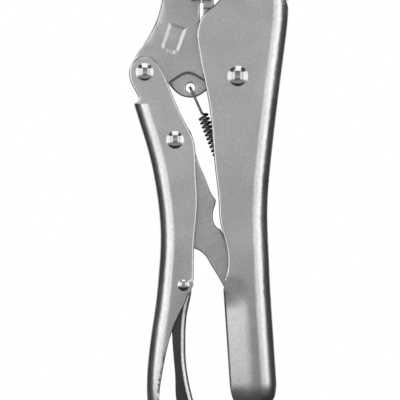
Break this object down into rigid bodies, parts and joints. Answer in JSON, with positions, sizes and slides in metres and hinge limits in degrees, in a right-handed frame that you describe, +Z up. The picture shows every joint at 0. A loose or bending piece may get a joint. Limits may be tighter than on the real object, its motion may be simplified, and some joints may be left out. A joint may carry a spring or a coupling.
{
  "type": "locking canvas pliers",
  "caption": "Locking toggle pliers with wide flat grooved jaw plates, a bowed lever handle with a release lever, and an adjusting screw in the fixed handle.",
  "frame": {"origin": "under the middle of the closed tool's box, at its lowest point", "axes": "+Z up along the tool towards the jaws, -X towards the lever handle, -Y towards the front"},
  "size_m": [0.0716, 0.08, 0.2431],
  "materials": {
    "nickel_plated_sheet": "satin nickel plate, fine grained",
    "nickel_plated_forging": "satin nickel plate over a forged skin",
    "polished_rivet": "polished domes",
    "spring_steel": "drawn wire, dark",
    "turned_steel": "turned and knurled, nickel plated",
    "weld_bead": "rippled bead, nickel plated"
  },
  "bodies": {
    "handle": {"fixed_handle": "nickel_plated_sheet", "fixed_jaw": "nickel_plated_forging", "fixed_jaw_plate": "nickel_plated_forging", "fixed_jaw_welds": "weld_bead", "jaw_rivet": "polished_rivet", "thread_insert": "turned_steel", "jaw_spring": "spring_steel"},
    "jaw": {"movable_jaw": "nickel_plated_forging", "movable_jaw_plate": "nickel_plated_forging", "movable_jaw_welds": "weld_bead"},
    "lever": {"lever_handle": "nickel_plated_sheet", "lever_rivet": "polished_rivet", "link_rivet": "polished_rivet", "release_rivet": "polished_rivet"},
    "link": {"toggle_link": "nickel_plated_forging"},
    "release": {"release_lever": "nickel_plated_sheet"},
    "screw": {"adjusting_screw": "turned_steel"},
    "knob": {"adjusting_knob": "turned_steel"}
  },
  "joints": [
    {"name": "jaw_hinge", "type": "hinge", "parent": "handle", "child": "jaw", "pos_m": [0.01303, 0, 0.16473], "axis": [0, -1, 0], "range_deg": [0, 20], "deforming": ["jaw_spring"]},
    {"name": "lever_hinge", "type": "hinge", "parent": "jaw", "child": "lever", "pos_m": [-0.02882, 0, 0.16653], "axis": [0, -1, 0], "range_deg": [-64.8, 0]},
    {"name": "link_hinge", "type": "hinge", "parent": "lever", "child": "link", "pos_m": [-0.01517, 0, 0.13603], "axis": [0, -1, 0], "range_deg": [0, 65.6]},
    {"name": "release_hinge", "type": "hinge", "parent": "lever", "child": "release", "pos_m": [-0.01137, 0, 0.07083], "axis": [0, -1, 0], "range_deg": [-8, 0]},
    {"name": "screw_slide", "type": "slide", "parent": "handle", "child": "screw", "axis": [0.0663, 0, -0.9978], "range_m": [0, 0.0075]},
    {"name": "knob_turn", "type": "hinge", "parent": "screw", "child": "knob", "pos_m": [0.02168, 0, 0.00046], "axis": [0.0663, 0, -0.9978], "range_deg": [0, 1800.5]}
  ],
  "couplings": [
    {"joint": "lever_hinge", "follows": "jaw_hinge", "ratio": -3.24},
    {"joint": "link_hinge", "follows": "jaw_hinge", "ratio": 3.28},
    {"joint": "knob_turn", "follows": "screw_slide", "rad_per_m": 4188.8}
  ]
}
